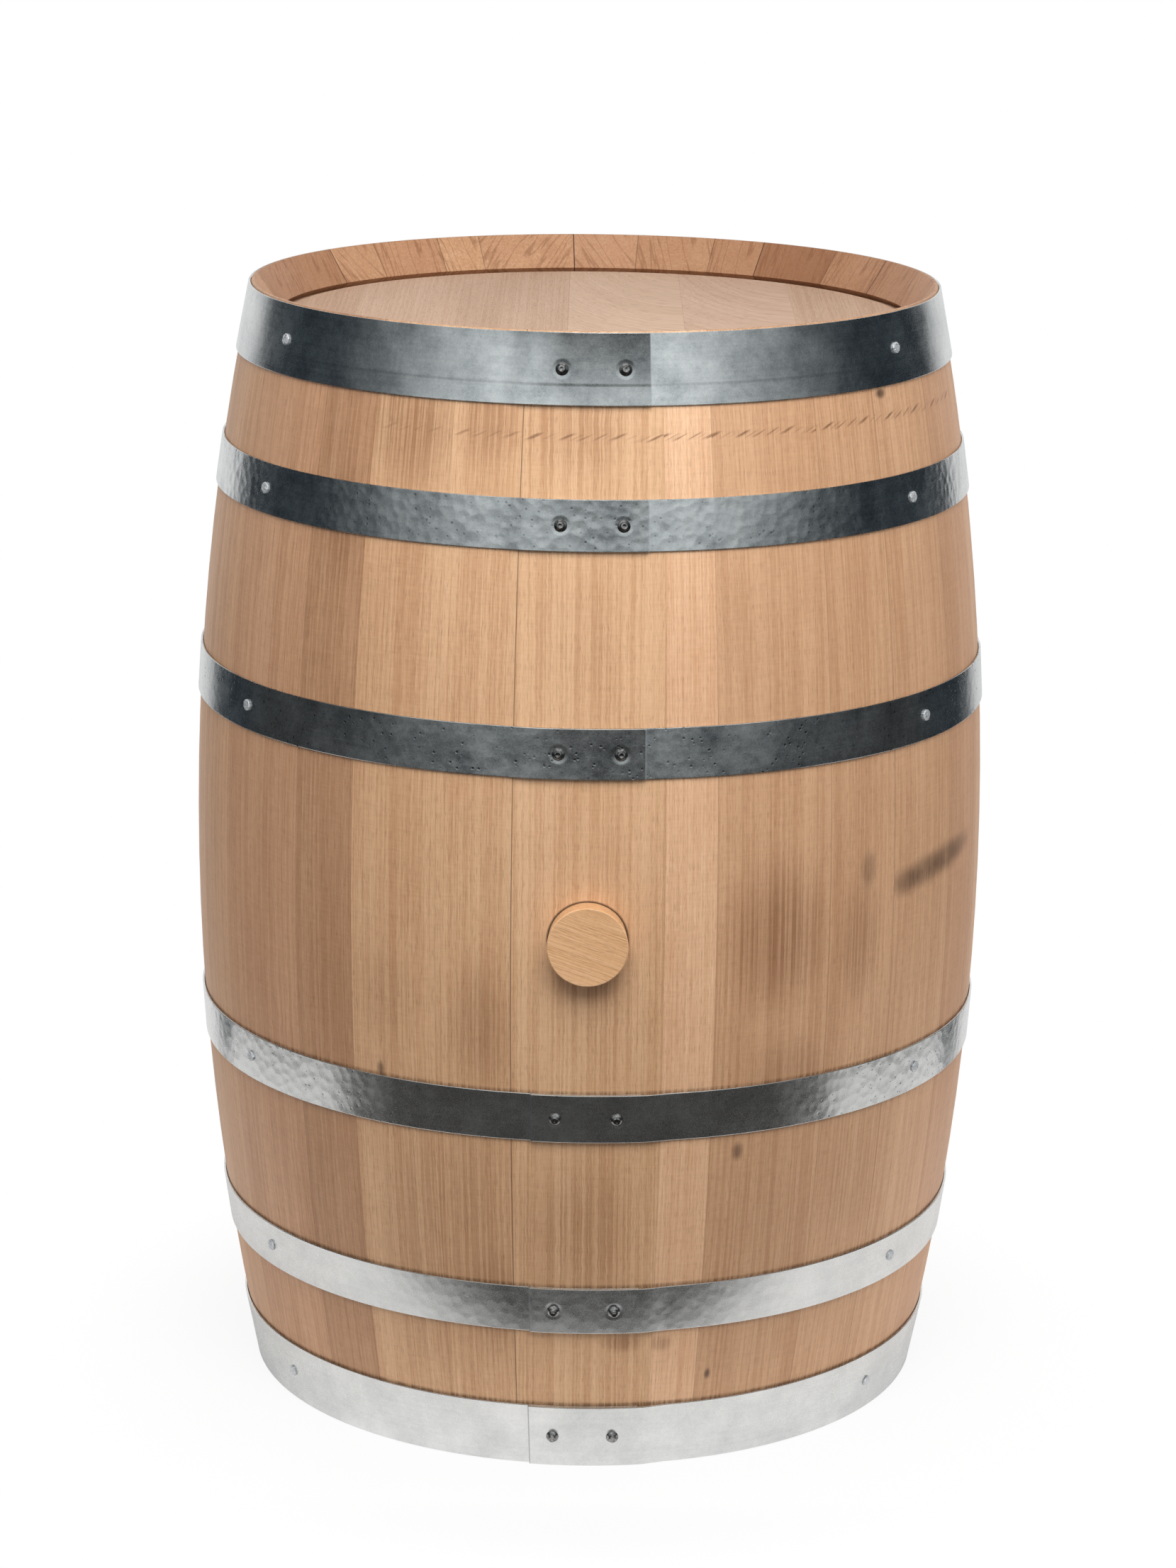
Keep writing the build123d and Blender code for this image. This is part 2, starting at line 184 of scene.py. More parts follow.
for number, tone in enumerate(stave_tones, start=1):
    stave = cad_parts["bung_stave" if number == 1 else f"stave_{number:02d}"]
    middle = sum((Vector(v.co.xy) for v in stave.data.vertices), Vector((0, 0)))
    facing = atan2(middle.x, -middle.y)
    turned = [(Matrix.Rotation(-facing, 3, "Z") @ v.co) for v in stave.data.vertices]
    sweep = [atan2(v.x, -v.y) for v in turned]
    stave_turn = facing + (min(sweep) + max(sweep)) / 2
    half_sweep = (max(sweep) - min(sweep)) / 2

    material, tree = new_material(f"planed_oak_stave_{number:02d}")
    place = node(tree, "TexCoord", {}, out="Object")
    fronted = node(tree, "Mapping", {"Vector": place, "Rotation": (0, 0, -stave_turn)})
    split = tree.nodes.new("ShaderNodeSeparateXYZ")
    tree.links.new(fronted, split.inputs[0])
    side, back, level = split.outputs
    ahead = node(tree, "Math", {0: back, 1: -1.0}, operation="MULTIPLY")
    turn = node(tree, "Math", {0: side, 1: ahead}, operation="ARCTAN2")
    flat = node(tree, "CombineXYZ", {0: side, 1: back})
    radius = node(tree, "VectorMath", {0: flat}, out=1, operation="LENGTH")
    across = node(tree, "Math", {0: turn, 1: radius}, operation="MULTIPLY")
    # The fibres bend with the plank, so depth is counted in from the arc of the outside
    rise = node(tree, "Math", {0: level, 1: height / 2}, operation="SUBTRACT")
    rise = node(tree, "Math", {0: rise, 1: 2.0}, operation="POWER")
    outside = node(tree, "Math", {0: rise, 1: -bow / (height / 2) ** 2, 2: bilge_radius},
                   operation="MULTIPLY_ADD")
    inward = node(tree, "Math", {0: outside, 1: radius}, operation="SUBTRACT")
    plank = node(tree, "CombineXYZ", {0: across, 1: inward, 2: level})
    pale, brown = oak_tones[tone]
    colour, relief, rings = oak_grain(tree, plank, pale, brown, number, rippled if number == 1 else straight)

    between = node(tree, "MapRange", {0: rings, 3: 1.0, 4: 0.5})
    strokes = node(tree, "Mapping", {"Vector": plank, "Scale": (1 / 0.0020, 0, 1 / 0.030)})
    strokes = node(tree, "TexNoise", {"Vector": strokes, "Scale": 1.0, "Detail": 1.0})
    strokes = node(tree, "MapRange", {0: strokes, 1: 0.34, 2: 0.66, 3: 0.78, 4: 1.0})
    # The stains and the painted shadow under the bung share one brown; rubs are darker
    marks = [(mark, between, "#7a4c2c") for mark in stave_stains_and_shadow.get(number, ())]
    marks += [(mark, strokes, "#33231a") for mark in stave_rubs.get(number, ())]
    for (mark_turn, mark_level, half_width, half_height, strength), pattern, stain_and_shadow_colour in marks:
        mark_sweep = (radians(mark_turn) - stave_turn + pi) % (2 * pi) - pi
        centre = (mark_sweep * outer_radius(mark_level), 0, mark_level)
        offset = node(tree, "VectorMath", {0: plank, 1: centre}, operation="SUBTRACT")
        shrink = (1 / half_width, 0, 1 / half_height)
        scaled = node(tree, "VectorMath", {0: offset, 1: shrink}, operation="MULTIPLY")
        reach = node(tree, "VectorMath", {0: scaled}, out=1, operation="LENGTH")
        fade = node(tree, "MapRange", {0: reach, 1: 0.2, 2: 1.0, 3: strength, 4: 0.0},
                    interpolation_type="SMOOTHSTEP")
        stain_and_shadow = node(tree, "Math", {0: fade, 1: pattern}, operation="MULTIPLY")
        colour = node(tree, "Mix", {0: stain_and_shadow, 6: colour, 7: hex_colour(stain_and_shadow_colour)},
                      out=2, data_type="RGBA")

    if number in bruised:
        # A chain of soft slanted dents some 7 mm apart, each 8 mm long and rising half as much
        slid = node(tree, "Math", {0: level, 1: -2.0, 2: across}, operation="MULTIPLY_ADD")
        slid = node(tree, "CombineXYZ", {0: slid, 2: level})
        slid = node(tree, "Mapping", {"Vector": slid, "Scale": (1 / 0.0065, 0, 1 / 0.030)})
        dent = node(tree, "TexNoise", {"Vector": slid, "Scale": 1.0, "Detail": 1.0})
        dent = node(tree, "MapRange", {0: dent, 1: 0.48, 2: 0.66, 3: 0.0, 4: bruised[number]})
        wander = node(tree, "TexNoise", {"Vector": plank, "Scale": 1 / 0.030, "Detail": 2.0})
        miss = node(tree, "Math", {0: wander, 1: -0.006, 2: -bruise_level}, operation="MULTIPLY_ADD")
        miss = node(tree, "Math", {0: level, 1: miss}, operation="ADD")
        miss = node(tree, "Math", {0: miss}, operation="ABSOLUTE")
        in_row = node(tree, "MapRange", {0: miss, 1: 0.0008, 2: 0.0040, 3: 1.0, 4: 0.0},
                      interpolation_type="SMOOTHSTEP")
        dent = node(tree, "Math", {0: dent, 1: in_row}, operation="MULTIPLY")
        colour = node(tree, "Mix", {0: dent, 6: colour, 7: hex_colour("#6b4428")}, out=2, data_type="RGBA")
        relief = node(tree, "Math", {0: dent, 1: -2.0, 2: relief}, operation="MULTIPLY_ADD")

    if number == 1:
        # Painted shade: a dark ring on the stave round the bunghole, where the gap round the bung lies in
        # shadow
        from_axis = node(tree, "VectorMath", {0: place, 1: (1, 0, 1)}, operation="MULTIPLY")
        from_axis = node(tree, "VectorMath", {0: from_axis, 1: (0, 0, bung_level)},
                         out=1, operation="DISTANCE")
        bung_gap_shade = node(tree, "MapRange", {0: from_axis, 1: hole_mouth, 2: hole_mouth + 0.0014, 3: 0.85, 4: 0.0})
        colour = node(tree, "Mix", {0: bung_gap_shade, 6: colour, 7: hex_colour("#2a190e")}, out=2, data_type="RGBA")

    # A dark brown line drawn on the wood along the upper edges of the lower hoops
    for edge in lower_hoop_edges:
        above = node(tree, "Math", {0: level, 1: edge}, operation="SUBTRACT")
        dark_edge_line = node(tree, "MapRange", {0: above, 1: 0.0006, 2: 0.0028, 3: 0.6, 4: 0.0})
        dark_edge_line = node(tree, "Math", {0: dark_edge_line, 1: between}, operation="MULTIPLY")
        below = node(tree, "Math", {0: above, 1: -0.01}, operation="GREATER_THAN")
        dark_edge_line = node(tree, "Math", {0: dark_edge_line, 1: below}, operation="MULTIPLY")
        colour = node(tree, "Mix", {0: dark_edge_line, 6: colour, 7: hex_colour("#54351f")}, out=2, data_type="RGBA")

    # The joint itself: a hairline at both edges, drawn 0.6 mm wide on each so that it shows
    right_gap = node(tree, "Math", {0: half_sweep, 1: turn}, operation="SUBTRACT")
    right_gap = node(tree, "Math", {0: right_gap, 1: radius}, operation="MULTIPLY")
    left_gap = node(tree, "Math", {0: half_sweep, 1: turn}, operation="ADD")
    left_gap = node(tree, "Math", {0: left_gap, 1: radius}, operation="MULTIPLY")
    before = (number - 2) % len(stave_tones) + 1
    right_dark, left_dark = open_joints.get(number, tight_joint), open_joints.get(before, tight_joint)
    right_line = node(tree, "MapRange", {0: right_gap, 1: 0.0001, 2: 0.0006, 3: right_dark, 4: 0.0})
    left_line = node(tree, "MapRange", {0: left_gap, 1: 0.0001, 2: 0.0006, 3: left_dark, 4: 0.0})
    seam = node(tree, "Math", {0: right_line, 1: left_line}, operation="MAXIMUM")
    relief = node(tree, "Math", {0: seam, 1: -1.5, 2: relief}, operation="MULTIPLY_ADD")

    # End grain on the bevel and the rim: dark ring lines some 4 mm apart, at the stave's own slant
    slant = Random(number).uniform(-0.9, 0.9)
    slanted = node(tree, "Mapping", {"Vector": plank, "Rotation": (0, 0, slant)})
    slanted = node(tree, "Mapping", {"Vector": slanted, "Scale": (1 / 0.0085, 1 / 0.07, 0)})
    rings = node(tree, "TexNoise", {"Vector": slanted, "Scale": 1.0, "Detail": 2.0, "Distortion": 0.3})
    lines = node(tree, "Math", {0: rings, 1: 0.5}, operation="SUBTRACT")
    lines = node(tree, "Math", {0: lines}, operation="ABSOLUTE")
    lines = node(tree, "MapRange", {0: lines, 1: 0.0, 2: 0.045, 3: 0.55, 4: 0.0})
    # End grain is browner than the face; at the back right this also paints shade
    browner_and_shaded = 0.12 + brown_and_shaded_ends.get(number, 0.05)
    end_colour = node(tree, "Mix", {0: browner_and_shaded, 6: colour, 7: hex_colour("#8f6040")}, out=2, data_type="RGBA")
    end_colour = node(tree, "Mix", {0: lines, 6: end_colour, 7: hex_colour("#7d4f30")},
                      out=2, data_type="RGBA")
    ends = node(tree, "TexNoise", {"Vector": plank, "Scale": 1 / 0.0012, "Detail": 1.0})
    ends = node(tree, "MapRange", {0: ends, 1: 0.35, 2: 0.65, 3: 0.24, 4: 0.08})
    end_colour = node(tree, "Mix", {0: ends, 6: end_colour, 7: hex_colour("#84573a")},
                      out=2, data_type="RGBA")
    normal = tree.nodes.new("ShaderNodeSeparateXYZ")
    tree.links.new(node(tree, "NewGeometry", {}, out="Normal"), normal.inputs[0])
    upright = node(tree, "Math", {0: normal.outputs[2]}, operation="ABSOLUTE")
    end_grain = node(tree, "MapRange", {0: upright, 1: 0.36, 2: 0.48})
    colour = node(tree, "Mix", {0: end_grain, 6: colour, 7: end_colour}, out=2, data_type="RGBA")
    plainer = node(tree, "MapRange", {0: end_grain, 3: 1.0, 4: 3.5})
    seam = node(tree, "Math", {0: seam, 1: plainer}, operation="MULTIPLY", use_clamp=True)
    colour = node(tree, "Mix", {0: seam, 6: colour, 7: hex_colour("#3a2415")}, out=2, data_type="RGBA")

    # Browned inside: everything more than some 20 mm in from the outside, between the two heads
    deep = node(tree, "MapRange", {0: inward, 1: 0.019, 2: 0.025})
    within = node(tree, "Math", {0: level, 1: height / 2, 2: height / 2 - 0.046}, operation="COMPARE")
    toast = node(tree, "Math", {0: deep, 1: within}, operation="MULTIPLY")
    colour = node(tree, "Mix", {0: toast, 6: colour, 7: hex_colour("#4b2d1a")}, out=2, data_type="RGBA")
    oak_surface(tree, colour, relief, 0.48, 0.0003, 0.45)
    stave.data.materials[0] = material

# Heads: six pale oak boards each, planed and sanded, joined by tongue and groove and turned to a disc
# whose thin edge sits in the croze. The grain runs from front to back, and two boards show its arches.
board_tones = (
    ("#c9aa93", "#b6957d"), ("#cfb19a", "#bf9e86"), ("#caab94", "#b7977f"),
    ("#d5b6a0", "#c4a68d"), ("#cfb19b", "#bf9e87"), ("#caab94", "#b6957c"),
)
for end in ("top", "bottom"):
    for number, (pale, brown) in enumerate(board_tones, start=1):
        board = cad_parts[f"head_board_{end}_{number}"]
        low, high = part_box(board.name)
        material, tree = new_material(f"sanded_oak_{end}_board_{number}")
        place = node(tree, "TexCoord", {}, out="Object")
        split = tree.nodes.new("ShaderNodeSeparateXYZ")
        tree.links.new(place, split.inputs[0])
        across, along, through = split.outputs
        if number in (4, 5):
            # A board sawn off the heart: its rings come up as long arches
            stretched = node(tree, "CombineXYZ", {0: across, 1: along})
            stretched = node(tree, "VectorMath", {0: stretched, 1: (high.x, 0.35, 0)}, operation="SUBTRACT")
            stretched = node(tree, "VectorMath", {0: stretched, 1: (1, 0.32, 0)}, operation="MULTIPLY")
            across = node(tree, "VectorMath", {0: stretched}, out=1, operation="LENGTH")
        plank = node(tree, "CombineXYZ", {0: across, 1: through, 2: along})
        seed = number + (40 if end == "top" else 50)
        colour, relief, rings = oak_grain(tree, plank, pale, brown, seed, 0.6)
        left_gap = node(tree, "Math", {0: split.outputs[0], 1: low.x}, operation="SUBTRACT")
        joint_dark = 0.35 if number == 4 else 0.15
        joint = node(tree, "MapRange", {0: left_gap, 1: 0.0002, 2: 0.0009, 3: joint_dark, 4: 0.0})
        colour = node(tree, "Mix", {0: joint, 6: colour, 7: hex_colour("#5a3b25")}, out=2, data_type="RGBA")
        oak_surface(tree, colour, relief, 0.75, 0.0002, 0.15)
        board.data.materials[0] = material

# Hoops: galvanised steel strip, cut to length, hammered to the slope of the staves, lapped on itself,
# riveted and driven down from each end. The zinc is cloudy and the driver leaves dents.
hoop_thickness, hoop_fit, lap_gap = 0.002, 0.0001, 0.0001
hoop_edge = 0.0005
rivet_spacing, rivet_margin, joggle_length, joggle_run_out = 0.049, 0.0195, 0.026, 0.002
# Hoop: height of its middle, width, side that the outer end laps to, how much flatter that end lies,
# hammer dents, pits, and how far down its width a line was rolled in
hoop_forms = {
    "head_hoop_top": (0.9210, 0.057, 1, 0.20, 0.04, 0.0, 0.7),
    "quarter_hoop_top": (0.8013, 0.041, 1, 0.08, 0.32, 0.4, 0.0),
    "bilge_hoop_top": (0.6222, 0.041, 1, 0.06, 0.10, 0.85, 0.0),
    "bilge_hoop_bottom": (0.3197, 0.041, -1, 0.02, 0.20, 0.3, 0.0),
    "quarter_hoop_bottom": (0.1477, 0.041, -1, 0.02, 0.12, 0.0, 0.0),
    "head_hoop_bottom": (0.0290, 0.057, -1, 0.02, 0.05, 0.0, 0.6),
}


def lean(level):
    """Slope of the staves' outside from upright at a height."""
    rise = level - height / 2
    return atan(-rise / sqrt(arc_radius**2 - rise**2))


def out_from_stave(turn, level):
    """Direction square to the staves' outside."""
    tilt = lean(level)
    return Vector((cos(tilt) * sin(turn), -cos(tilt) * cos(turn), -sin(tilt)))


def on_stave(turn, level, lift):
    """A point lifted off the staves' outside."""
    radius = outer_radius(level)
    return Vector((radius * sin(turn), -radius * cos(turn), level)) + out_from_stave(turn, level) * lift


def finish_mesh(bm, name, material, body, sharp):
    """Close up a mesh, make it an object that rides on a body, and give it its finish."""
    bmesh.ops.remove_doubles(bm, verts=bm.verts, dist=0.000002)
    bmesh.ops.recalc_face_normals(bm, faces=bm.faces)
    mesh = bpy.data.meshes.new(name)
    bm.to_mesh(mesh)
    bm.free()
    mesh.shade_smooth()
    mesh.set_sharp_from_angle(angle=radians(sharp))
    mesh.materials.append(material)
    piece = bpy.data.objects.new(name, mesh)
    bpy.context.scene.collection.objects.link(piece)
    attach(piece, body)
    return piece


for name, (level, width, lap_side, lap_flatness, dents, pits, rolled) in hoop_forms.items():
    radius = outer_radius(level)
    tilt = lean(level)
    lap_half = (rivet_spacing / 2 + rivet_margin) / radius
    lap_start = -lap_half - joggle_run_out / radius
    joggle_start = lap_start - joggle_length / radius
    rivet_turn = rivet_spacing / 2 / radius
    step_up = hoop_thickness + lap_gap

    # The strip's section with its edges broken, spun once round, stepped up and spun over its own end
    bm = bmesh.new()
    along = Vector((sin(tilt) * sin(-lap_half), -sin(tilt) * cos(-lap_half), cos(tilt)))
    corners = [
        on_stave(-lap_half, level, hoop_fit + lift) + along * side * width / 2
        for lift, side in ((0, -1), (hoop_thickness, -1), (hoop_thickness, 1), (0, 1))
    ]
    section = bm.faces.new([bm.verts.new(corner) for corner in corners])
    bmesh.ops.bevel(bm, geom=section.verts[:], offset=hoop_edge, segments=2, profile=0.5,
                    affect="VERTICES", material=-1)
    last = bm.faces[:] + bm.edges[:] + bm.verts[:]
    last = bmesh.ops.spin(bm, geom=last, cent=(0, 0, 0), axis=(0, 0, 1), steps=232, use_merge=False,
                          angle=2 * pi + joggle_start + lap_half)["geom_last"]
    joggle_steps = 10
    for step in range(joggle_steps):
        last = bmesh.ops.spin(bm, geom=last, cent=(0, 0, 0), axis=(0, 0, 1), steps=1, use_merge=False,
                              angle=(lap_start - joggle_start) / joggle_steps)["geom_last"]
        here = joggle_start + (lap_start - joggle_start) * (step + 1) / joggle_steps
        rise = (cos(pi * step / joggle_steps) - cos(pi * (step + 1) / joggle_steps)) / 2 * step_up
        bmesh.ops.translate(bm, verts=[v for v in last if isinstance(v, bmesh.types.BMVert)],
                            vec=out_from_stave(here, level) * rise)
    bmesh.ops.spin(bm, geom=last, cent=(0, 0, 0), axis=(0, 0, 1), steps=12, use_merge=False,
                   angle=lap_half - lap_start)
    bmesh.ops.scale(bm, vec=(lap_side, 1, 1), verts=bm.verts)

    # Galvanised steel: bright zinc, cloudy where it set, that shows the room dark and light. Clouds are 35 mm
    # wide, dents 9 mm, pits 6 mm apart. The real spangle is finer, and drawn 1.1 mm wide so that it shows.
    material, tree = new_material(f"galvanised_{name}")
    place = node(tree, "TexCoord", {}, out="Object")
    cloud = node(tree, "TexNoise", {"Vector": place, "Scale": 1 / 0.035, "Detail": 4.0, "Roughness": 0.65})
    speckle = node(tree, "TexNoise", {"Vector": place, "Scale": 1 / 0.0035, "Detail": 3.0, "Roughness": 0.7})
    spangle = node(tree, "TexNoise", {"Vector": place, "Scale": 1 / 0.0011, "Detail": 1.0})
    streaks = node(tree, "Mapping", {"Vector": place, "Scale": (1 / 0.12, 1 / 0.12, 1 / 0.0028)})
    streak = node(tree, "TexNoise", {"Vector": streaks, "Scale": 1.0, "Detail": 2.0})
    wave = node(tree, "TexNoise", {"Vector": place, "Scale": 1 / 0.085, "Detail": 0.0})
    dent = node(tree, "TexVoronoi", {"Vector": place, "Scale": 1 / 0.0090, "Smoothness": 0.35},
                feature="SMOOTH_F1")
    pit = node(tree, "TexVoronoi", {"Vector": place, "Scale": 1 / 0.0058, "Randomness": 1.0})
    pit = node(tree, "MapRange", {0: pit, 1: 0.10, 2: 0.24, 3: pits, 4: 0.0}, interpolation_type="SMOOTHSTEP")
    clustered = node(tree, "MapRange", {0: cloud, 1: 0.47, 2: 0.57, 3: 1.0, 4: 0.0})
    pit = node(tree, "Math", {0: pit, 1: clustered}, operation="MULTIPLY")

    shade = node(tree, "MapRange", {0: cloud, 1: 0.30, 2: 0.70, 3: 0.0, 4: 0.60})
    shade = node(tree, "Math", {0: streak, 1: 0.30, 2: shade}, operation="MULTIPLY_ADD")
    shade = node(tree, "Math", {0: speckle, 1: 0.45, 2: shade}, operation="MULTIPLY_ADD")
    shade = node(tree, "Math", {0: spangle, 1: 0.45, 2: shade}, operation="MULTIPLY_ADD")
    shade = node(tree, "MapRange", {0: shade, 1: 0.36, 2: 1.40})
    # Painted light and shade: the same zinc is darker and cloudier on the upper hoops, paler and even on the
    # lower ones
    dull, bright = ("#878d90", "#f0f1f0") if lap_side > 0 else ("#c4c5c4", "#eaeae8")
    colour = node(tree, "Mix", {0: shade, 6: hex_colour(dull), 7: hex_colour(bright)},
                  out=2, data_type="RGBA")
    colour = node(tree, "Mix", {0: pit, 6: colour, 7: hex_colour("#4a5056")}, out=2, data_type="RGBA")
    rough = node(tree, "MapRange", {0: shade, 3: 0.17, 4: 0.30})
    rough = node(tree, "Math", {0: spangle, 1: 0.06, 2: rough}, operation="MULTIPLY_ADD")

    # Relief in metres: long waves of the bent strip, hammer dents, pits and spangle
    relief = node(tree, "Math", {0: wave, 1: 0.0007}, operation="MULTIPLY")
    relief = node(tree, "Math", {0: dent, 1: 0.0014 * dents, 2: relief}, operation="MULTIPLY_ADD")
    relief = node(tree, "Math", {0: pit, 1: -0.0002, 2: relief}, operation="MULTIPLY_ADD")
    relief = node(tree, "Math", {0: spangle, 1: 0.00002, 2: relief}, operation="MULTIPLY_ADD")
    # The outer end lies a little flatter than the strip under it, and along the edge where it ends a thin
    # line is painted: a highlight on the upper hoops, a shadow on the lower ones
    split = tree.nodes.new("ShaderNodeSeparateXYZ")
    tree.links.new(place, split.inputs[0])
    ahead = node(tree, "Math", {0: split.outputs[1], 1: -1.0}, operation="MULTIPLY")
    turn = node(tree, "Math", {0: split.outputs[0], 1: ahead}, operation="ARCTAN2")
    past_end = node(tree, "Math", {0: turn, 1: lap_side * radius, 2: -lap_half * radius},
                    operation="MULTIPLY_ADD")
    on_lap = node(tree, "Math", {0: past_end, 1: 0.0}, operation="LESS_THAN")
    lap_length = 2 * lap_half * radius
    risen = node(tree, "MapRange", {0: past_end, 1: -lap_length - 0.02, 2: -lap_length + 0.03},
                 interpolation_type="SMOOTHSTEP")
    on_lap = node(tree, "Math", {0: on_lap, 1: risen}, operation="MULTIPLY")
    rise = node(tree, "Math", {0: split.outputs[2], 1: level}, operation="SUBTRACT")
    bent = node(tree, "Math", {0: rise, 1: 6 * lap_flatness, 2: lap_flatness}, operation="MULTIPLY_ADD")
    flatter = node(tree, "Math", {0: rise, 1: bent}, operation="MULTIPLY")
    relief = node(tree, "Math", {0: flatter, 1: on_lap, 2: relief}, operation="MULTIPLY_ADD")
    beside = node(tree, "Math", {0: past_end}, operation="ABSOLUTE")
    lap_end_highlight_and_shadow = node(tree, "MapRange", {0: beside, 1: 0.0003, 2: 0.0009, 3: 0.7, 4: 0.0})
    # Painted highlight on the upper hoops, painted shadow on the lower ones
    lap_end_highlight_and_shadow_tone = "#e2e6e9" if lap_side > 0 else "#94979a"
    colour = node(tree, "Mix", {0: lap_end_highlight_and_shadow, 6: colour, 7: hex_colour(lap_end_highlight_and_shadow_tone)}, out=2, data_type="RGBA")
    rough = node(tree, "MapRange", {0: lap_end_highlight_and_shadow, 3: rough, 4: 0.5})
    if rolled:
        line = level + (0.5 - rolled) * width * cos(tilt)
        fold = node(tree, "MapRange", {
            0: split.outputs[2], 1: line - 0.0015, 2: line + 0.0015, 3: 0.0, 4: 0.00022,
        }, interpolation_type="SMOOTHSTEP")
        relief = node(tree, "Math", {0: relief, 1: fold}, operation="ADD")
        hollow = node(tree, "Math", {0: rise, 1: rise}, operation="MULTIPLY")
        relief = node(tree, "Math", {0: hollow, 1: 1.1 * rolled, 2: relief}, operation="MULTIPLY_ADD")
    for turn in (-rivet_turn, rivet_turn):
        reach = node(tree, "VectorMath", {0: place, 1: on_stave(turn, level, hoop_fit + 2 * hoop_thickness)},
                     out=1, operation="DISTANCE")
        dimple = node(tree, "MapRange", {0: reach, 1: 0.0045, 2: 0.0085, 3: -0.00035, 4: 0.0},
                      interpolation_type="SMOOTHSTEP")
        relief = node(tree, "Math", {0: relief, 1: dimple}, operation="ADD")
    bump = node(tree, "Bump", {"Height": relief, "Strength": 0.8, "Distance": 1.0})
    shader = node(tree, "BsdfPrincipled", {
        "Base Color": colour, "Metallic": 1.0, "Roughness": rough, "Normal": bump})
    node(tree, "OutputMaterial", {"Surface": shader})
    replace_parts(finish_mesh(bm, f"{name}_strip", material, "barrel", 20), name)

# Rivets: two soft steel rivets through each lap, set cold. A low flange bears on the strip, and the stub
# above it is upset by the hammer, with a small hollow in its end.
rivet_outline = (
    (0.0, 4.15), (1.1, 4.25), (1.9, 4.6), (2.7, 4.5), (3.1, 4.0), (3.2, 2.1),
    (3.5, 1.65), (4.4, 1.3), (5.0, 0.7), (5.2, 0.0), (0.0, 0.0),
)


def turn_profile(bm, outline, frame_matrix, steps):
    """Turn a half outline in millimetres about its own axis, place it, and give back its vertices."""
    points = [bm.verts.new((r / 1000, 0, z / 1000)) for r, z in outline]
    edges = [bm.edges.new(pair) for pair in zip(points, points[1:])]
    before = set(bm.verts) - set(points)
    bmesh.ops.spin(bm, geom=points + edges, cent=(0, 0, 0), axis=(0, 0, 1), angle=2 * pi, steps=steps,
                   use_merge=True)
    made = [v for v in bm.verts if v not in before]
    bmesh.ops.transform(bm, matrix=frame_matrix, verts=made)
    return made


def seat(turn, level, lift):
    """Placing matrix on the staves' outside, with its own z pointing out of the barrel."""
    out = out_from_stave(turn, level)
    right = Vector((cos(turn), sin(turn), 0))
    facing = Matrix((right, out.cross(right), out)).transposed().to_4x4()
    return Matrix.Translation(on_stave(turn, level, lift)) @ facing


# Bare rivet steel: dark and smooth where the hammer closed it, with small bright glints
material, tree = new_material("upset_rivet_steel")
place = node(tree, "TexCoord", {}, out="Object")
wear = node(tree, "TexNoise", {"Vector": place, "Scale": 1 / 0.002, "Detail": 2.0})
wear = node(tree, "MapRange", {0: wear, 1: 0.25, 2: 0.75})
colour = node(tree, "Mix", {0: wear, 6: hex_colour("#4b4a49"), 7: hex_colour("#b0aeac")},
              out=2, data_type="RGBA")
rough = node(tree, "MapRange", {0: wear, 3: 0.22, 4: 0.12})
shader = node(tree, "BsdfPrincipled", {"Base Color": colour, "Metallic": 1.0, "Roughness": rough})
node(tree, "OutputMaterial", {"Surface": shader})
bm = bmesh.new()
seat_gap = 0.00005
on_both_layers = hoop_fit + 2 * hoop_thickness + lap_gap + seat_gap
for level, *_ in hoop_forms.values():
    rivet_turn = rivet_spacing / 2 / outer_radius(level)
    for turn in (-rivet_turn, rivet_turn):
        turn_profile(bm, rivet_outline, seat(turn, level, on_both_layers), 24)
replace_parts(finish_mesh(bm, "lap_rivets", material, "barrel", 50), "hoop_rivets")

# Nails: three hand-driven nails stop each hoop from slipping. Their flat heads are beaten out of round,
# bright and burred at the rim.
nail_turns = (-57, 55, 180)
nail_outline = ((0.0, 1.6), (1.6, 1.75), (3.2, 1.7), (4.2, 1.5), (4.6, 1.0), (4.5, 0.0), (0.0, 0.0))
# Zinc-coated nail steel, beaten: pale and matt, in small facets that each catch another light
material, tree = new_material("hammered_nail_steel")
place = node(tree, "TexCoord", {}, out="Object")
blow = node(tree, "TexNoise", {"Vector": place, "Scale": 1 / 0.0022, "Detail": 2.0})
colour = node(tree, "Mix", {0: blow, 6: hex_colour("#b9bdc1"), 7: hex_colour("#f4f5f6")},
              out=2, data_type="RGBA")
rough = node(tree, "MapRange", {0: blow, 1: 0.3, 2: 0.7, 3: 0.55, 4: 0.3})
bump = node(tree, "Bump", {"Height": blow, "Strength": 1.0, "Distance": 0.0022})
shader = node(tree, "BsdfPrincipled", {
    "Base Color": colour, "Metallic": 0.6, "Roughness": rough, "Normal": bump})
node(tree, "OutputMaterial", {"Surface": shader})
bm = bmesh.new()
blows, beaten = Random(11), 0.00022
for level, *_ in hoop_forms.values():
    for turn in nail_turns:
        placed = seat(radians(turn), level, hoop_fit + hoop_thickness + seat_gap)
        turn_profile(bm, nail_outline, placed, 18)
bmesh.ops.remove_doubles(bm, verts=bm.verts, dist=0.000002)
for vert in bm.verts:
    vert.co += Vector([blows.uniform(-beaten, beaten) for _ in range(3)])
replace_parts(finish_mesh(bm, "hoop_nail_heads", material, "barrel", 60), "hoop_nails")

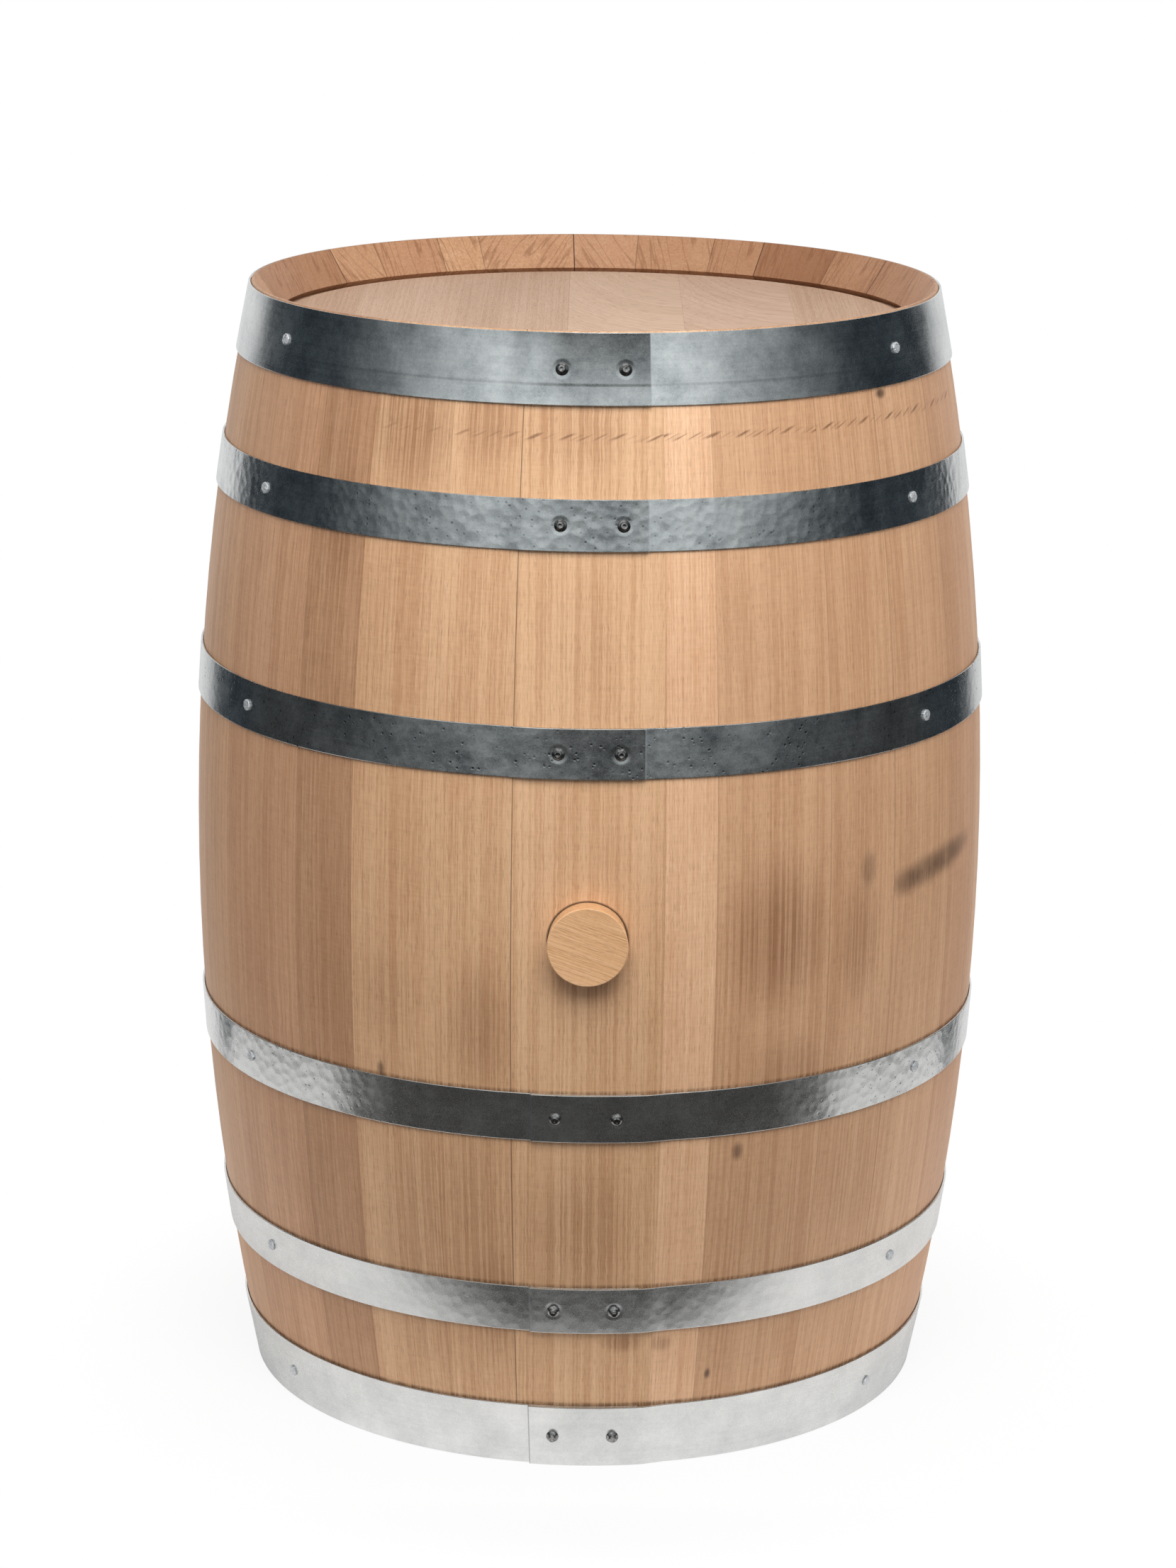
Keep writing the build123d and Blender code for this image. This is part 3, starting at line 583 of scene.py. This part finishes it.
# Bung: a plug turned from oak across the grain and pushed into the tapered hole by hand. Its end
# shows slanting grain lines, and it is the one piece that comes out.
material, tree = new_material("turned_oak_bung")
place = node(tree, "TexCoord", {}, out="Object")
grain_way = node(tree, "Mapping", {
    "Vector": place, "Location": (0, 0, -bung_level), "Rotation": (0, radians(-20), 0)})
split = tree.nodes.new("ShaderNodeSeparateXYZ")
tree.links.new(grain_way, split.inputs[0])
plank = node(tree, "CombineXYZ", {0: split.outputs[2], 1: split.outputs[1], 2: split.outputs[0]})
colour, relief, rings = oak_grain(tree, plank, "#efc195", "#d9a777", 77, 0.5)
oak_surface(tree, colour, relief, 0.55, 0.00025, 0.40)
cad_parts["bung"].data.materials[0] = material

# Floor: a sheet of matt white paper, which keeps a soft shadow under the barrel and turns pure white further
# out. What it throws back on the wood comes only from the sheet round the barrel: the floor in front is dark.
floor_radius = 30.0
paper_front, paper_corner, corner_reach, paper_side = -0.463, -0.40, 0.8, 1.05
floor = bpy.data.objects.new("paper_floor", bpy.data.meshes.new("paper_floor"))
bm = bmesh.new()
bmesh.ops.create_circle(bm, cap_ends=True, radius=floor_radius, segments=96)
bm.to_mesh(floor.data)
bm.free()
bpy.context.scene.collection.objects.link(floor)
material, tree = new_material("white_paper")
place = node(tree, "TexCoord", {}, out="Object")
distance = node(tree, "VectorMath", {0: place}, out=1, operation="LENGTH")
clear = node(tree, "MapRange", {0: distance, 1: 0.30, 2: 0.50, 3: 0.88, 4: 1.0},
             interpolation_type="SMOOTHSTEP")
path = tree.nodes.new("ShaderNodeLightPath")
seen = node(tree, "Math", {0: path.outputs["Is Camera Ray"], 1: path.outputs["Is Transmission Ray"]},
            operation="MAXIMUM")
share = node(tree, "Math", {0: seen, 1: clear}, operation="MULTIPLY")
mirrored = node(tree, "MapRange", {0: distance, 1: 0.33, 2: 1.1, 3: 0.10, 4: 1.0},
                interpolation_type="SMOOTHSTEP")
split = tree.nodes.new("ShaderNodeSeparateXYZ")
tree.links.new(place, split.inputs[0])
# Painted light: just in front of the barrel the sheet glows nearly white to reflections, in place of the lit
# paper
in_front = node(tree, "MapRange", {0: split.outputs[1], 1: -0.08, 2: -0.28})
close_by = node(tree, "MapRange", {0: distance, 1: 0.295, 2: 0.375, 3: 0.90, 4: 0.45})
in_front = node(tree, "Math", {0: in_front, 1: close_by}, operation="MULTIPLY")
mirrored = node(tree, "Math", {0: mirrored, 1: in_front}, operation="MAXIMUM")
share = node(tree, "Math", {0: path.outputs["Is Glossy Ray"], 1: mirrored, 2: share},
             operation="MULTIPLY_ADD")
bend = node(tree, "Math", {0: split.outputs[0], 1: split.outputs[0]}, operation="MULTIPLY")
edge_bend = (paper_front - paper_corner) / corner_reach**2
ahead = node(tree, "Math", {0: bend, 1: edge_bend, 2: split.outputs[1]}, operation="MULTIPLY_ADD")
ahead = node(tree, "MapRange", {0: ahead, 1: paper_front, 2: paper_front + 0.1})
sheet = node(tree, "Mix", {0: ahead, 6: hex_colour("#5a5c5e"), 7: hex_colour("#eeeeee")},
             out=2, data_type="RGBA")
paper = node(tree, "BsdfDiffuse", {"Color": sheet})
white = node(tree, "Emission", {"Color": (1, 1, 1, 1), "Strength": 1.0})
mixed = node(tree, "MixShader", {0: share, 1: paper, 2: white})
node(tree, "OutputMaterial", {"Surface": mixed})
floor.data.materials.append(material)

# Room: walls that are lit in front above eye level and fall dark to the sides, the dark floor in front of
# the paper, and two dark boards beside the barrel. Only reflections show them, and the open side behind the
# barrel is white.
room_radius, room_height, room_floor = 5.0, 9.0, 0.002
room_left, room_right = radians(-132), radians(136)
material, tree = new_material("dark_studio_wall")
place = node(tree, "TexCoord", {}, out="Object")
split = tree.nodes.new("ShaderNodeSeparateXYZ")
tree.links.new(place, split.inputs[0])
raised = node(tree, "MapRange", {0: split.outputs[2], 1: 0.0, 2: 1.3, 3: 0.10, 4: 0.72})
higher = node(tree, "MapRange", {0: split.outputs[2], 1: 1.3, 2: 3.0, 3: 0.0, 4: 0.18})
raised = node(tree, "Math", {0: raised, 1: higher}, operation="ADD")
forward = node(tree, "MapRange", {0: split.outputs[1], 1: 0.2, 2: -4.6})
narrowing = node(tree, "MapRange", {0: split.outputs[2], 1: 1.6, 2: 3.0, 3: 2.1, 4: 1.3})
forward = node(tree, "Math", {0: forward, 1: narrowing}, operation="POWER")
lit = node(tree, "Math", {0: raised, 1: forward}, operation="MULTIPLY")
colour = node(tree, "Mix", {0: lit, 6: hex_colour("#282f34"), 7: hex_colour("#e4e9ea")},
              out=2, data_type="RGBA")
on_floor = node(tree, "Math", {0: split.outputs[2], 1: 0.01}, operation="LESS_THAN")
colour = node(tree, "Mix", {0: on_floor, 6: colour, 7: hex_colour("#353433")}, out=2, data_type="RGBA")
shade = node(tree, "Emission", {"Color": colour, "Strength": 1.5})
node(tree, "OutputMaterial", {"Surface": shade})
bm = bmesh.new()
foot = bm.verts.new((room_radius * sin(room_left), -room_radius * cos(room_left), -0.02))
head = bm.verts.new(foot.co + Vector((0, 0, room_height)))
wall_edge = bm.edges.new((foot, head))
bmesh.ops.spin(bm, geom=[foot, head, wall_edge], cent=(0, 0, 0), axis=(0, 0, 1), steps=64,
               angle=room_right - room_left)
# The dark floor in front of the sheet and to its sides, left and right
for side in (-1, 1):
    for corners in (
        ((5, -5), (0, -5), (0, paper_front), (corner_reach, paper_corner), (5, paper_corner)),
        ((5, paper_corner), (paper_side, paper_corner), (paper_side, 0.4), (5, 3)),
    ):
        bm.faces.new([bm.verts.new((side * x, y, room_floor)) for x, y in corners])
# The boards, each a little askew and 0.6 m tall
for side, inner in ((-1, 0.74), (1, 0.69)):
    corners = ((inner, 0.46, 0), (1.60, 0.40, 0), (1.60, 0.40, 0.60), (inner, 0.46, 0.60))
    bm.faces.new([bm.verts.new((side * x, y, z)) for x, y, z in corners])
# The bright middle of the softbox, which gives the rivets and nails their glints
card = [bm.verts.new(corner) for corner in (
    (-0.15, -1.45, 1.85), (0.35, -1.45, 1.85), (0.35, -1.70, 2.15), (-0.15, -1.70, 2.15))]
bm.faces.new(card).material_index = 1
room = bpy.data.objects.new("dark_room", bpy.data.meshes.new("dark_room"))
bm.to_mesh(room.data)
bm.free()
bpy.context.scene.collection.objects.link(room)
room.data.materials.append(material)
material, tree = new_material("softbox_face")
glow = node(tree, "Emission", {"Color": (1, 1, 1, 1), "Strength": 7.0})
node(tree, "OutputMaterial", {"Surface": glow})
room.data.materials.append(material)
room.visible_camera = room.visible_diffuse = room.visible_shadow = room.visible_transmission = False

# Light: one softbox in front just above the picture, a weaker one from behind on each side, and an even fill.
# They light the wood. The metal shows the room instead, so reflections leave the lamps out.
for lamp_name, spot, aim, wide, tall, power in (
    ("key_softbox", (0.1, -1.55, 1.98), (0, -0.2, 0.6), 1.5, 1.2, 36),
    ("left_softbox", (-2.4, 0.9, 1.0), (0, 0, 0.5), 1.6, 1.8, 12),
    ("right_softbox", (2.4, 0.9, 1.0), (0, 0, 0.5), 1.6, 1.8, 24),
):
    lamp = bpy.data.lights.new(lamp_name, "AREA")
    lamp.shape, lamp.size, lamp.size_y, lamp.energy = "RECTANGLE", wide, tall, power
    hung = bpy.data.objects.new(lamp_name, lamp)
    bpy.context.scene.collection.objects.link(hung)
    hung.visible_glossy = False
    facing = (Vector(aim) - Vector(spot)).to_track_quat("-Z", "Y").to_matrix().to_4x4()
    hung.matrix_world = Matrix.Translation(spot) @ facing

world = bpy.data.worlds.new("studio_air")
bpy.context.scene.world = world
world.use_nodes = True
tree = world.node_tree
tree.nodes.clear()
path = tree.nodes.new("ShaderNodeLightPath")
seen = node(tree, "Math", {0: path.outputs["Is Camera Ray"], 1: path.outputs["Is Glossy Ray"]},
            operation="MAXIMUM")
seen = node(tree, "Math", {0: seen, 1: path.outputs["Is Transmission Ray"]}, operation="MAXIMUM")
fill = node(tree, "Background", {"Color": (1, 1, 1, 1), "Strength": 0.54})
white = node(tree, "Background", {"Color": (1, 1, 1, 1), "Strength": 1.0})
mixed = node(tree, "MixShader", {0: seen, 1: fill, 2: white})
node(tree, "OutputWorld", {"Surface": mixed})
bpy.context.scene.view_settings.view_transform = "Standard"

# Camera: a long lens at chest height, some 3.7 m in front, tipped down at the barrel and rolled a trace.
camera_spot, tipped, rolled_by = (-0.0011, -3.657, 1.469), radians(14.69), radians(0.628)
eye = bpy.data.cameras.new("camera")
eye.lens, eye.sensor_width = 100.0, 36.0
eye.clip_end = 100.0
camera = bpy.data.objects.new("camera", eye)
bpy.context.scene.collection.objects.link(camera)
camera.matrix_world = (
    Matrix.Translation(camera_spot)
    @ Matrix.Rotation(radians(90) - tipped, 4, "X")
    @ Matrix.Rotation(rolled_by, 4, "Z")
)
bpy.context.scene.camera = camera
